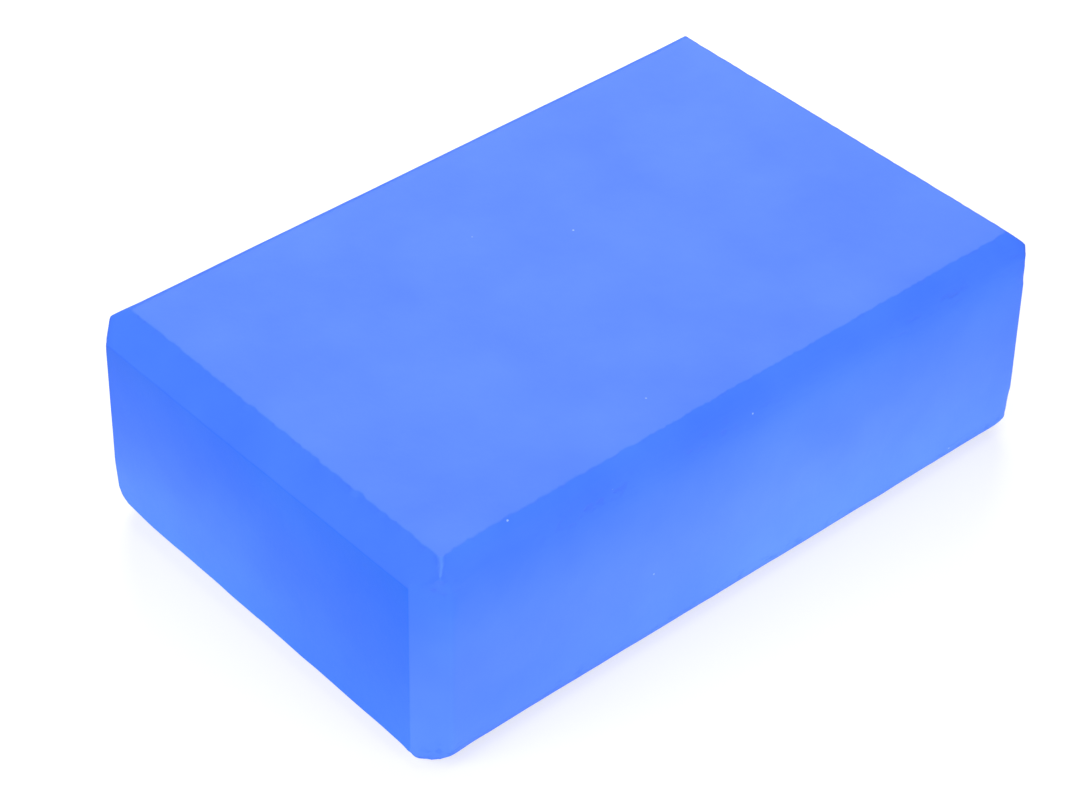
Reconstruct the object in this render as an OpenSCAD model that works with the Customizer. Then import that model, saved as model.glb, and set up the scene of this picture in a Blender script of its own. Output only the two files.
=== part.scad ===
/* [Block] */
// Length of the block, from end to end
block_l = 230; // [180:1:300]
// Width of the block, from one long side to the other
block_w = 147; // [110:1:200]
// Height of the block, from the base to the top
block_h = 73; // [50:1:110]

/* [End bevels] */
// How far the flat bevels above and below each end reach in along the length
end_bevel_run = 8.6; // [4:0.1:14]
// How far those bevels reach over the end face
end_bevel_drop = 8.6; // [4:0.1:14]

/* [Side bevels] */
// How far the crowned bevels above and below each long side reach in across the width
side_bevel_run = 6.8; // [6:0.1:12]
// How far those bevels reach over the side face
side_bevel_drop = 9; // [6:0.1:12]
// How far those bevels bulge out past a straight cut
side_bevel_bulge = 1.2; // [0.3:0.1:1.5]

/* [Corner bevels] */
// How far the flat bevel on each upright corner reaches along the long side
corner_bevel_l = 7.5; // [4:0.1:14]
// How far that bevel reaches along the end
corner_bevel_w = 8.6; // [4:0.1:14]

/* [Hidden] */
// How far a cutting shape runs past the corner that it takes off
overrun = 1;
quarter_turn = 90;
$fn = 128;

// Rectangle about the origin with its four corners cut off straight.
// Each cut takes cut_w off the width and cut_h off the height.
module bevelled_rectangle(w, h, cut_w, cut_h) {
    x = w / 2;
    y = h / 2;
    polygon([
        [x, y - cut_h], [x - cut_w, y],
        [cut_w - x, y], [-x, y - cut_h],
        [-x, cut_h - y], [cut_w - x, -y],
        [x - cut_w, -y], [x, cut_h - y]
    ]);
}

// The same, but each cut is an arc that stands out past the straight cut by bulge.
// The arc meets both sides at an angle, so that its two creases stay sharp.
module crowned_rectangle(w, h, cut_w, cut_h, bulge) {
    chord = norm([cut_w, cut_h]);
    arc_r = (chord * chord / 4 + bulge * bulge) / (2 * bulge);
    inward = (arc_r - bulge) * [cut_h, cut_w] / chord;
    arc_centre = [w - cut_w, h - cut_h] / 2 - inward;
    difference() {
        square([w, h], center = true);
        for (flip_w = [0, 1], flip_h = [0, 1])
            mirror([flip_w, 0])
                mirror([0, flip_h])
                    translate(arc_centre)
                        difference() {
                            square(arc_r + overrun);
                            circle(arc_r);
                        }
    }
}

// The block is what its three outlines have in common, so that the bevels
// of neighbouring edges meet in mitres at all eight corners.
module foam_block() {
    color("#6693fc")
        translate([0, 0, block_h / 2])
            intersection() {
                // Seen from above: the upright corners
                linear_extrude(block_h, center = true)
                    bevelled_rectangle(block_l, block_w, corner_bevel_l, corner_bevel_w);
                // Seen from a long side: the edges of the two ends
                rotate([quarter_turn, 0, 0])
                    linear_extrude(block_w, center = true)
                        bevelled_rectangle(block_l, block_h, end_bevel_run, end_bevel_drop);
                // Seen from an end: the edges of the two long sides
                rotate([quarter_turn, 0, quarter_turn])
                    linear_extrude(block_l, center = true)
                        crowned_rectangle(block_w, block_h, side_bevel_run, side_bevel_drop, side_bevel_bulge);
            }
}

foam_block();
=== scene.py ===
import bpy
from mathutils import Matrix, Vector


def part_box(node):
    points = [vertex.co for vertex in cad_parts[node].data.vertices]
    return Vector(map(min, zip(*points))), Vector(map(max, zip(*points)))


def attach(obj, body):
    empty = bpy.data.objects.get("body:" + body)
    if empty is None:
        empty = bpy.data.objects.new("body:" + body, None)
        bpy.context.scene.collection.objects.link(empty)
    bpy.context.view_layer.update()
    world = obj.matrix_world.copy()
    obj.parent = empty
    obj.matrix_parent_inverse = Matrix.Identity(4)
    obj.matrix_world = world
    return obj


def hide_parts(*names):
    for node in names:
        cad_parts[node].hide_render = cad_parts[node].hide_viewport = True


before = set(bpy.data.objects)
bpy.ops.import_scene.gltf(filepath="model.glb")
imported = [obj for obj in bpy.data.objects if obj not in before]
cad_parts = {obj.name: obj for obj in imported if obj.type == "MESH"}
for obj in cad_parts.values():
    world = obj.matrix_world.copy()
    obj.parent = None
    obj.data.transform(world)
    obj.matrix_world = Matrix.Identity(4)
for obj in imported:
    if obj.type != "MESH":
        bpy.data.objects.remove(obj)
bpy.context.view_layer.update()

import math

import bmesh
import bpy
from mathutils import Vector, noise
from mathutils.geometry import intersect_point_line

scene = bpy.context.scene
scene.view_settings.view_transform = "Standard"

# Foam block
# One slab of closed-cell EVA foam, sawn square from a thick sheet. A saw then took a bevel off
# every edge: flat ones over the ends and on the upright corners, crowned ones along the sides.
MM = 0.001
low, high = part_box("foam_block")
extent = high - low
middle = (low + high) / 2
reach_out = extent / 2
end_reach, end_drop = 8.6 * MM, 8.6 * MM
side_reach, side_drop, side_bulge = 6.8 * MM, 9.0 * MM, 1.2 * MM
crown_steps = 8
soft_radius, soft_steps = 50.0 * MM, 4
# Each upright corner: its sign along and across, and how many millimetres its bevel reaches
# along the side and across the end. The first is the corner in front.
corner_bevels = ((-1, -1, 7.5, 8.8), (1, -1, 6.2, 8.6), (-1, 1, 7.5, 8.1), (1, 1, 7.5, 8.6))

block = bmesh.new()
bmesh.ops.create_cube(block, size=1.0)
bmesh.ops.scale(block, vec=extent, verts=block.verts)
bmesh.ops.translate(block, vec=middle, verts=block.verts)


def slice_block(point, facing, cut_off):
    """Cuts the block along a plane. With cut_off, what lies beyond goes and the cut is closed."""
    whole = block.verts[:] + block.edges[:] + block.faces[:]
    cut = bmesh.ops.bisect_plane(block, geom=whole, dist=0.001 * MM, plane_co=point, plane_no=facing,
                                 clear_outer=cut_off)
    if cut_off:
        rim = [part for part in cut["geom_cut"] if isinstance(part, bmesh.types.BMEdge)]
        bmesh.ops.edgeloop_fill(block, edges=rim)


def cut_arc(centre, radius, first, last, steps):
    """Cuts the block along planes that touch an arc, from the first facing round to the last."""
    for step in range(steps):
        facing = first.slerp(last, (step + 0.5) / steps)
        slice_block(centre + facing * radius, facing, True)


# The arc of a crowned bevel, seen along the block: how far its centre lies in from the side and
# down from the top, and the slopes at which it leaves the top and meets the side.
chord = math.hypot(side_reach, side_drop)
arc_radius = (chord ** 2 / 4 + side_bulge ** 2) / (2 * side_bulge)
arc_in = side_reach / 2 + (arc_radius - side_bulge) * side_drop / chord
arc_down = side_drop / 2 + (arc_radius - side_bulge) * side_reach / chord
slope_top = math.asin((arc_in - side_reach) / arc_radius)
slope_side = math.pi / 2 - math.asin((arc_down - side_drop) / arc_radius)

for up in (-1, 1):
    for out in (-1, 1):
        crease = middle + Vector((out * (reach_out.x - end_reach), 0, up * reach_out.z))
        slice_block(crease, Vector((out * end_drop, 0, up * end_reach)), True)
        first = Vector((0, out * math.sin(slope_top), up * math.cos(slope_top)))
        last = Vector((0, out * math.sin(slope_side), up * math.cos(slope_side)))
        centre = middle + Vector((0, out * (reach_out.y - arc_in), up * (reach_out.z - arc_down)))
        cut_arc(centre, arc_radius, first, last, crown_steps)
        # The saw left the crease with the side soft.
        side = Vector((0, out, 0))
        crease = middle + Vector((0, out * reach_out.y, up * (reach_out.z - side_drop)))
        bisector = (last + side).normalized()
        centre = crease - bisector * soft_radius / bisector.dot(side)
        cut_arc(centre, soft_radius, last, side, soft_steps)
for sign_x, sign_y, reach_x, reach_y in corner_bevels:
    crease = middle + Vector((sign_x * (reach_out.x - reach_x * MM), sign_y * reach_out.y, 0))
    slice_block(crease, Vector((sign_x * reach_y, sign_y * reach_x, 0)), True)

# Most creases are rounded a little. Where bevels meet at a corner they are sanded soft, all but
# the mitre at the front of the top, where the saw left a thin ridge, painted pale as a highlight.
crease_angle = math.radians(14)
crease_round = 0.3 * MM
bmesh.ops.recalc_face_normals(block, faces=block.faces)
block.normal_update()
crisp, soft, mitre = [], [], []
for edge in block.edges:
    if edge.calc_face_angle() < crease_angle:
        continue
    line = [vert.co.copy() for vert in edge.verts]
    spot = (line[0] + line[1]) / 2 - middle
    facings = [face.normal for face in edge.link_faces]
    at_corner = any(abs(facing.x) > 0.3 and abs(facing.y) > 0.3 for facing in facings)
    at_end = any(abs(facing.x) > 0.9 for facing in facings)
    on_end_bevel = any(0.5 < abs(facing.x) < 0.9 for facing in facings)
    on_side_bevel = any(abs(facing.y) > 0.1 for facing in facings)
    at_mitre = on_end_bevel and on_side_bevel and not at_corner
    at_front = spot.x < 0 and spot.y < 0 and spot.z > 0
    if at_corner and not at_end or at_mitre and not at_front:
        soft.append(line)
    else:
        crisp.append(edge)
    if at_mitre and at_front:
        mitre.append(line)
bmesh.ops.bevel(block, geom=crisp, offset=crease_round, offset_type="OFFSET", segments=3,
                profile=0.5, affect="EDGES", material=-1, clamp_overlap=True)

# The block is sliced fine enough to be shaped, finest from the top down past the bevels.
slice_gaps = (1.2 * MM, 1.2 * MM, 2.6 * MM)
extra_slices = 10
weld = 0.05 * MM
for axis in (2, 1, 0):
    facing = Vector((0, 0, 0))
    facing[axis] = 1
    count = round(extent[axis] / slice_gaps[axis])
    for step in range(1, count):
        slice_block(low + facing * extent[axis] * step / count, facing, False)
for step in range(extra_slices):
    slice_block(high - Vector((0, 0, (step + 0.5) * slice_gaps[2])), Vector((0, 0, 1)), False)
bmesh.ops.remove_doubles(block, verts=block.verts, dist=weld)


def clamp(value):
    """The value, kept between nothing and one."""
    return min(1, max(0, value))


def gap(spot, lines):
    """How far a spot lies from the nearest of some lines."""
    gaps = []
    for start, end in lines:
        nearest, share = intersect_point_line(spot, start, end)
        gaps.append((spot - start.lerp(end, clamp(share))).length)
    return min(gaps)


# The corners were sanded by hand, each set of creases over its own reach and by its own number
# of turns. The ridge is left alone, and the end face in front keeps its crisp outline.
corner_zone = 14 * MM
ridge_berth = 1.2 * MM
outline_berth = 0.4 * MM
corner_verts = [vert for vert in block.verts if abs(vert.co.x) > reach_out.x - corner_zone
                and abs(vert.co.y) > reach_out.y - corner_zone]
upright = [line for line in soft if abs(line[0].z - line[1].z) > extent.z / 2]
foot = [line for line in soft if max(line[0].z, line[1].z) < extent.z / 2]
top = [line for line in soft if min(line[0].z, line[1].z) > extent.z / 2]
top_front = [line for line in top if line[0].x < 0 and line[0].y < 0]
top_left = [line for line in top if line[0].x < 0 < line[0].y]
top_right = [line for line in top if line[0].y < 0 < line[0].x]
foot_front = [line for line in foot if line[0].x < 0 and line[0].y < 0]
foot_rest = [line for line in foot if line not in foot_front]
sandings = (
    (upright, 2.2 * MM, 3),
    (top_front, 2.8 * MM, 12),
    (top_left, 2.0 * MM, 5),
    (top_right, 2.5 * MM, 9),
    (foot_front, 1.6 * MM, 2),
    (foot_rest, 3.6 * MM, 18),
)
for lines, reach, turns in sandings:
    sanded = [vert for vert in corner_verts
              if gap(vert.co, lines) < reach and gap(vert.co, mitre) > ridge_berth
              and (lines is not top_front or vert.co.x > low.x + outline_berth)]
    for turn in range(turns):
        bmesh.ops.smooth_vert(block, verts=sanded, factor=0.5,
                              use_axis_x=True, use_axis_y=True, use_axis_z=True)
# The ridge is narrower than the slices, so the mesh is made finer around it.
fine_zone = 2.2 * MM
near_mitre = {edge for vert in corner_verts if gap(vert.co, mitre) < fine_zone for edge in vert.link_edges}
bmesh.ops.subdivide_edges(block, edges=list(near_mitre), cuts=5, use_grid_fill=True)


def fade(distance, reach):
    """One at no distance, nothing at the reach and beyond."""
    return max(0, 1 - abs(distance) / reach)


def hump(value, centre, width):
    """A smooth hump, one high, about a centre."""
    return math.exp(-((value - centre) / width) ** 2)


def wander(place, size):
    """A number about zero that changes smoothly from place to place, over a size."""
    return noise.noise(place / size) + noise.noise(place * 3.1 / size) * 0.8


# Sawn by hand, the creases slant, wander and fray, and the faces are not quite flat. The far
# creases wander less. Sizes below are how far a crease moves, or how far around it that is felt.
block.normal_update()
worn = block.verts.layers.float.new("worn")
ridge = block.verts.layers.float.new("ridge")
painted_shade = block.verts.layers.float.new("painted_shade")
mitre_ends = sorted((end for line in mitre for end in line), key=lambda end: end.z)
mitre_foot, mitre_top = mitre_ends[0], mitre_ends[-1]
far_share = 0.25
crease_blend, face_blend = 14 * MM, 16 * MM
wander_depth, wander_size, low_wander_size = 0.2 * MM, 16 * MM, 22 * MM
fray_depth, fray_size, fray_width = 0.65 * MM, 1.7 * MM, 1.6 * MM
dip_depth, dip_width = 0.15 * MM, 1.8 * MM
front_pull, front_pull_length = 1.2 * MM, 5 * MM
front_x, front_y = [reach * MM for reach in corner_bevels[0][2:]]
front_hollow, hollow_at, hollow_width = 1.3 * MM, 0.72, 0.16
front_point, point_at, point_width = 1.9 * MM, 0.17, 0.27
front_start, front_full = 2.5 * MM, 8 * MM
tuck = Vector((0.73, -0.68, 0)) * 2.0 * MM
tuck_zone = 24 * MM
run_out = 4.2 * MM
run_out_berth = 9 * MM
swell_depth, swell_size = 0.2 * MM, 75 * MM
ripple_depth, ripple_size = 0.05 * MM, 24 * MM
base_zone = 1.0 * MM
ridge_height, ridge_zone = 0.15 * MM, 12 * MM
ridge_half, ridge_flare, ridge_start = 0.55 * MM, 0.42 * MM, 0.06
top_facing, bevel_facing = 0.998, 0.93
worn_patch, worn_edge = 18 * MM, 1.5 * MM
end_skin, end_ramp = 0.12 * MM, 0.1 * MM
cut_start, cut_ramp = 33 * MM, 27 * MM
moves = []
for vert in block.verts:
    spot = vert.co - middle
    share_x, share_y = spot.x / reach_out.x, spot.y / reach_out.y
    up = vert.co.z - low.z
    on_top = spot.z > 0

    # Where the spot lies beside the creases around its bevels.
    rise = (abs(spot.z) - (reach_out.z - end_drop)) / end_drop
    on_bevel = clamp(rise)
    past_end = abs(spot.x) - (reach_out.x - end_reach)
    past_side = abs(spot.y) - (reach_out.y - side_reach)
    past = max(past_end, past_side)
    by_low = max(0, 1 - abs(rise) * (1.0 if rise > 0 else 0.6))
    from_end = fade(spot.x + reach_out.x, face_blend)
    from_side = fade(spot.y + reach_out.y, face_blend)

    # How far its creases slide: in along x and y at the bevels' tops, in z at their feet.
    near_x = 1.0 if spot.x < 0 else far_share
    near_y = 1.0 if spot.y < 0 else far_share
    seed = Vector((math.copysign(0.3, spot.x), math.copysign(0.5, spot.y), math.copysign(0.7, spot.z)))
    down_end, down_side = Vector((0, spot.y, 0)) + seed, Vector((spot.x, 0, 0)) + seed
    slide = Vector((wander(down_end, wander_size) * near_x,
                    wander(down_side, wander_size) * near_y,
                    wander(Vector((spot.x, spot.y, 0)) + seed, low_wander_size))) * wander_depth
    if on_top and spot.x < 0:
        slide.x += (0.05 + 0.96 * share_y) * MM
        slide.z += (0.6 + 0.9 * share_y) * MM * from_end
    if on_top and spot.y < 0:
        from_front = max(0, spot.x + reach_out.x - end_reach)
        slide.y += (-0.45 + 0.25 * share_x) * MM - front_pull * math.exp(-from_front / front_pull_length)
    if on_top and spot.y > 0:
        slide.y -= 0.95 * MM
    if spot.z < 0:
        slide.z += (-0.15 + 2.3 * share_y) * MM * from_end
        slide.z -= (0.05 + 0.9 * share_x) * MM * from_side
    move = Vector((slide.x * on_bevel * fade(past_end, crease_blend),
                   slide.y * on_bevel * fade(past_side, crease_blend),
                   slide.z * by_low))

    # The top dips a little just before its creases, which are frayed.
    if on_top:
        fray_x = noise.noise(down_end / fray_size) * hump(past_end, 0, fray_width) * near_x
        fray_y = noise.noise(down_side / fray_size) * hump(past_side, 0, fray_width) * near_y
        move += Vector((fray_x, fray_y, 0)) * on_bevel * fray_depth
        move.z -= dip_depth * math.exp(min(0, past) / dip_width) * on_bevel
    # The foot of the front corner comes down to a blunt point, with a hollow beside it.
    if spot.x < 0 and spot.y < 0 and spot.z < 0:
        across = ((vert.co.x - low.x) / front_x - (vert.co.y - low.y) / front_y + 1) / 2
        hollow = front_hollow * hump(across, hollow_at, hollow_width)
        point = front_point * hump(across, point_at, point_width)
        move.z += (hollow - point) * clamp(up / front_start) * clamp(1 - (up - front_full) / crease_blend)
    # The left foot corner is tucked in.
    if spot.x < 0 < spot.y and spot.z < 0:
        from_corner = vert.co.x - low.x + high.y - vert.co.y
        move += tuck * fade(from_corner, tuck_zone) * fade(up, tuck_zone)
    # The bevels over the long sides run out into them.
    if on_top and abs(vert.normal.y) > 0.3:
        inside_ends = clamp((reach_out.x - run_out_berth - abs(spot.x)) / crease_blend)
        depth = side_reach * math.exp((spot.z - reach_out.z) / run_out)
        move.y += math.copysign(1, spot.y) * (reach_out.y - depth - abs(spot.y)) * inside_ends
    # All but the base is a little uneven.
    if vert.co.z > base_zone:
        move += vert.normal * (noise.noise(spot / swell_size) * swell_depth
                               + noise.noise(spot / ripple_size) * ripple_depth)
    # The ridge on the front mitre widens upwards from a point.
    if spot.x < 0 and spot.y < 0 and spot.z > reach_out.z - ridge_zone and vert.normal.z < top_facing:
        share = (vert.co.z - mitre_foot.z) / (mitre_top.z - mitre_foot.z)
        half = (ridge_half + ridge_flare * clamp(share)) * clamp((share - ridge_start) * 16)
        beside = gap(vert.co, [(mitre_foot, mitre_top)])
        # The same share paints the ridge's highlight into the colour.
        vert[ridge] = clamp((half * 1.25 - beside) / max(half * 0.5, 0.01 * MM))
        move += vert.normal * vert[ridge] * ridge_height
    moves.append(move)

    # Worn: here and there along the lower crease of the side bevels. Just past the top creases, the colour
    # is darker in short dashes.
    here = clamp((noise.noise(spot / worn_patch) + 0.15) * 3)
    low_crease = max(0, 1 - abs(rise - 0.15) * 2.2) * here * (abs(vert.normal.y) > 0.6)
    top_crease = fade(past, worn_edge) * (past > 0) * on_bevel
    vert[worn] = max(low_crease, top_crease * 0.7) * (1 - vert[ridge])
    # Painted shade: the ends, most of all high up and towards the front, and a little the sides' upper
    # half.
    on_end = clamp((abs(spot.x) - reach_out.x + end_skin) / end_ramp)
    on_end *= 1 - 0.45 * clamp(share_y)
    on_upper = clamp((up - cut_start) / cut_ramp) * (vert.normal.z < bevel_facing)
    vert[painted_shade] = max(on_end * (0.6 + 0.55 * (up / extent.z) ** 2), 0.33 * on_upper)
for vert, move in zip(block.verts, moves):
    vert.co += move

block_mesh = bpy.data.meshes.new("foam_block_cut")
block.normal_update()
block.to_mesh(block_mesh)
block.free()
foam_block = bpy.data.objects.new("foam_block_cut", block_mesh)
scene.collection.objects.link(foam_block)
for face in block_mesh.polygons:
    face.use_smooth = True
flat_faces_lead = foam_block.modifiers.new("flat_faces_lead", "WEIGHTED_NORMAL")
flat_faces_lead.mode = "FACE_AREA"
flat_faces_lead.weight = 50


def linear(hex_colour):
    """An sRGB hex colour as the linear colour that a shader takes."""
    shares = [int(hex_colour[i:i + 2], 16) / 255 for i in (0, 2, 4)]
    return [s / 12.92 if s <= 0.04045 else ((s + 0.055) / 1.055) ** 2.4 for s in shares] + [1.0]


def add_node(tree, kind, settings=None, links=None):
    """Adds a node, sets its own settings or its sockets, and links its sockets."""
    node = tree.nodes.new(kind)
    for name, value in (settings or {}).items():
        if hasattr(node, str(name)):
            setattr(node, name, value)
        else:
            node.inputs[name].default_value = value
    for name, source in (links or {}).items():
        tree.links.new(source, node.inputs[name])
    return node


# Closed-cell EVA foam, sawn and lightly sanded: a matt, even blue with faint clouds, a fine skin of
# cut cells, a few pale flecks of unmixed filler, and small nicks where the bevels run out.
# Shade is painted into the colour on the ends and the sides' upper half.
cloud_size, peel_size = 32 * MM, 5 * MM
speck_spacing = 6 * MM
nick_size = 1.7 * MM
grain_size = 0.9 * MM
darker_cloud, lighter_cloud = linear("4b78fd"), linear("5380fd")
painted_shade_tint = linear("a9f2ff")
fleck_colour, ridge_highlight_colour, nick_colour = linear("9cbaff"), linear("5182fe"), linear("4674f2")
foam = bpy.data.materials.new("eva_foam_sawn")
foam.use_nodes = True
tree = foam.node_tree
shader = tree.nodes["Principled BSDF"]
shader.inputs["IOR"].default_value = 1.5
shader.inputs["Specular IOR Level"].default_value = 0.06
place = add_node(tree, "ShaderNodeTexCoord").outputs["Object"]

cloud = add_node(tree, "ShaderNodeTexNoise", {"Scale": 1 / cloud_size, "Detail": 4.0}, {"Vector": place})
cloudy = add_node(tree, "ShaderNodeMapRange", {"From Min": 0.3, "From Max": 0.7},
                  {"Value": cloud.outputs["Fac"]})
tone = add_node(tree, "ShaderNodeMix", {"data_type": "RGBA", 6: darker_cloud, 7: lighter_cloud},
                {0: cloudy.outputs["Result"]})
# Painted shade: the colour is made deeper on the ends, most of all high up, and a little on the sides'
# upper half.
painted_shade_share = add_node(tree, "ShaderNodeAttribute", {"attribute_name": "painted_shade"})
shaded_tone = add_node(tree, "ShaderNodeMix", {"data_type": "RGBA", "blend_type": "MULTIPLY", 7: painted_shade_tint},
                  {0: painted_shade_share.outputs["Fac"], 6: tone.outputs[2]})

# Specks about 0.8 mm across: one of sixty cells has one, and most cells along a worn crease.
worn_crease = add_node(tree, "ShaderNodeAttribute", {"attribute_name": "worn"})
cells = add_node(tree, "ShaderNodeTexVoronoi", {"Scale": 1 / speck_spacing}, {"Vector": place})
speck = add_node(tree, "ShaderNodeMapRange", {"From Min": 0.07, "From Max": 0.04},
                 {"Value": cells.outputs["Distance"]})
lot = add_node(tree, "ShaderNodeSeparateColor", None, {"Color": cells.outputs["Color"]})
likely = add_node(tree, "ShaderNodeMath", {"operation": "MULTIPLY_ADD", 1: 0.8},
                  {0: worn_crease.outputs["Fac"], 2: lot.outputs["Red"]})
chosen = add_node(tree, "ShaderNodeMapRange", {"From Min": 0.983, "From Max": 0.985},
                  {"Value": likely.outputs["Value"]})
fleck = add_node(tree, "ShaderNodeMath", {"operation": "MULTIPLY"},
                 {0: speck.outputs["Result"], 1: chosen.outputs["Result"]})
flecked = add_node(tree, "ShaderNodeMix", {"data_type": "RGBA", 7: fleck_colour},
                   {0: fleck.outputs["Value"], 6: shaded_tone.outputs[2]})
# The ridge on the front mitre is painted paler than the bevels beside it: a painted highlight.
ridge_highlight_share = add_node(tree, "ShaderNodeAttribute", {"attribute_name": "ridge"})
ridge_highlighted = add_node(tree, "ShaderNodeMix", {"data_type": "RGBA", 7: ridge_highlight_colour},
                {0: ridge_highlight_share.outputs["Fac"], 6: flecked.outputs[2]})
# Along the side bevels' lower crease, nicks are torn cells; just past the top creases they are darker
# dashes. Both are about 2 mm long and 0.8 mm wide, drawn out along the saw's path.
drawn_out = add_node(tree, "ShaderNodeMapping", {"Scale": (0.45, 1.0, 1.0)}, {"Vector": place})
torn = add_node(tree, "ShaderNodeTexNoise", {"Scale": 1 / nick_size, "Detail": 1.0},
                {"Vector": drawn_out.outputs["Vector"]})
deep = add_node(tree, "ShaderNodeMapRange", {"From Min": 0.54, "From Max": 0.66},
                {"Value": torn.outputs["Fac"]})
nick = add_node(tree, "ShaderNodeMath", {"operation": "MULTIPLY"},
                {0: deep.outputs["Result"], 1: worn_crease.outputs["Fac"]})
nicked = add_node(tree, "ShaderNodeMix", {"data_type": "RGBA", 7: nick_colour},
                  {0: nick.outputs["Value"], 6: ridge_highlighted.outputs[2]})
tree.links.new(nicked.outputs[2], shader.inputs["Base Color"])

# Cut cells are about 0.2 mm across, too fine for the picture, so they are drawn at 0.9 mm.
grain = add_node(tree, "ShaderNodeTexNoise", {"Scale": 1 / grain_size, "Detail": 2.0}, {"Vector": place})
dull = add_node(tree, "ShaderNodeMapRange", {"To Min": 0.38, "To Max": 0.52},
                {"Value": grain.outputs["Fac"]})
tree.links.new(dull.outputs["Result"], shader.inputs["Roughness"])
peel = add_node(tree, "ShaderNodeTexNoise", {"Scale": 1 / peel_size, "Detail": 2.0}, {"Vector": place})
rough_skin = add_node(tree, "ShaderNodeBump", {"Strength": 1.0, "Distance": 0.02 * MM},
                      {"Height": grain.outputs["Fac"]})
uneven = add_node(tree, "ShaderNodeBump", {"Strength": 1.0, "Distance": 0.08 * MM},
                  {"Height": peel.outputs["Fac"], "Normal": rough_skin.outputs["Normal"]})
sunk = add_node(tree, "ShaderNodeBump", {"Strength": 1.0, "Distance": 0.08 * MM, "invert": True},
                {"Height": nick.outputs["Value"], "Normal": uneven.outputs["Normal"]})
tree.links.new(sunk.outputs["Normal"], shader.inputs["Normal"])
block_mesh.materials.append(foam)

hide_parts("foam_block")
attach(foam_block, "root")

# Floor
# A sheet of white paper under studio light. Unseen by the camera, it glows in painted pools of light in
# front of the long side, the end and the front corner, and throws that light up at the block. To the
# camera it is white, less the block's shadow.
floor_radius = 4.0
camera_white = 0.67
# Each painted pool of glow on the paper: its centre, its spread and its brightness.
by_side = ((0.027, -0.097, 0.0), (0.25, 0.085, 1.0), 2.05)
by_end = ((-0.13, 0.045, 0.0), (0.045, 0.135, 1.0), 2.25)
by_corner = ((-0.135, -0.09, 0.0), (0.05, 0.05, 1.0), 0.8)
floor_mesh = bpy.data.meshes.new("floor")
floor_cut = bmesh.new()
bmesh.ops.create_circle(floor_cut, cap_ends=True, segments=96, radius=floor_radius)
floor_cut.to_mesh(floor_mesh)
floor_cut.free()
floor = bpy.data.objects.new("floor", floor_mesh)
scene.collection.objects.link(floor)
paper = bpy.data.materials.new("white_paper")
paper.use_nodes = True
tree = paper.node_tree
paper_shader = tree.nodes["Principled BSDF"]
paper_shader.inputs["Base Color"].default_value = (0.4, 0.4, 0.4, 1)
paper_shader.inputs["Roughness"].default_value = 0.9
paper_shader.inputs["Specular IOR Level"].default_value = 0.0
paper_shader.inputs["Emission Color"].default_value = (1, 1, 1, 1)
place = add_node(tree, "ShaderNodeTexCoord").outputs["Object"]
glow = None
for centre, spread, brightness in (by_side, by_end, by_corner):
    about = add_node(tree, "ShaderNodeMapping",
                     {"vector_type": "TEXTURE", "Location": centre, "Scale": spread}, {"Vector": place})
    fading = add_node(tree, "ShaderNodeTexGradient", {"gradient_type": "SPHERICAL"},
                      {"Vector": about.outputs["Vector"]})
    bright = add_node(tree, "ShaderNodeMath", {"operation": "MULTIPLY_ADD", 1: brightness, 2: 0.0},
                      {0: fading.outputs["Fac"]})
    if glow:
        tree.links.new(glow.outputs["Value"], bright.inputs[2])
    glow = bright
# The painted glow fades close to the block, as a painted shadow, and there is none under it.
outward = add_node(tree, "ShaderNodeVectorMath", {"operation": "ABSOLUTE"}, {0: place})
clear = add_node(tree, "ShaderNodeVectorMath",
                 {"operation": "SUBTRACT", 1: (reach_out.x, reach_out.y, 0.0)},
                 {0: outward.outputs["Vector"]})
apart = add_node(tree, "ShaderNodeSeparateXYZ", None, {0: clear.outputs["Vector"]})
beyond = add_node(tree, "ShaderNodeMath", {"operation": "MAXIMUM"},
                  {0: apart.outputs["X"], 1: apart.outputs["Y"]})
open_paper = add_node(tree, "ShaderNodeMapRange", {"From Min": -4.5 * MM, "From Max": 11 * MM},
                      {"Value": beyond.outputs["Value"]})
painted_glow = add_node(tree, "ShaderNodeMath", {"operation": "MULTIPLY"},
               {0: glow.outputs["Value"], 1: open_paper.outputs["Result"]})
ray = add_node(tree, "ShaderNodeLightPath")
shine = add_node(tree, "ShaderNodeMix", {3: camera_white},
                 {0: ray.outputs["Is Camera Ray"], 2: painted_glow.outputs["Value"]})
tree.links.new(shine.outputs[0], paper_shader.inputs["Emission Strength"])
floor_mesh.materials.append(paper)

# Lights
# Four square softboxes about a metre from the block, in a room that is otherwise nearly dark.
world = bpy.data.worlds.new("studio")
scene.world = world
world.use_nodes = True
world.node_tree.nodes["Background"].inputs["Color"].default_value = (1, 1, 1, 1)
world.node_tree.nodes["Background"].inputs["Strength"].default_value = 0.05


def softbox(name, place, strength):
    """A square soft light that faces the block's middle."""
    lamp = bpy.data.lights.new(name, "AREA")
    lamp.shape = "SQUARE"
    lamp.size = 0.7
    lamp.energy = strength
    holder = bpy.data.objects.new(name, lamp)
    holder.location = place
    holder.rotation_euler = (middle - Vector(place)).to_track_quat("-Z", "Y").to_euler()
    scene.collection.objects.link(holder)


softbox("back_right", (0.54, 0.60, 0.62), 8.3)
softbox("overhead", (0.0, 0.0, 1.036), 3.1)
softbox("left", (-0.816, -0.071, 0.61), 7.0)
softbox("right", (0.0, -0.978, 0.244), 7.5)

# Camera
# Where the photo was taken from, fitted to the block's corners and creases in it.
view = bpy.data.cameras.new("camera")
view.sensor_width = 36.0
view.sensor_fit = "HORIZONTAL"
view.lens = 112.753
camera = bpy.data.objects.new("camera", view)
camera.location = (-0.52137, -0.560192, 0.645515)
camera.rotation_euler = [math.radians(angle) for angle in (50.98636, -0.85686, -41.64219)]
scene.collection.objects.link(camera)
scene.camera = camera
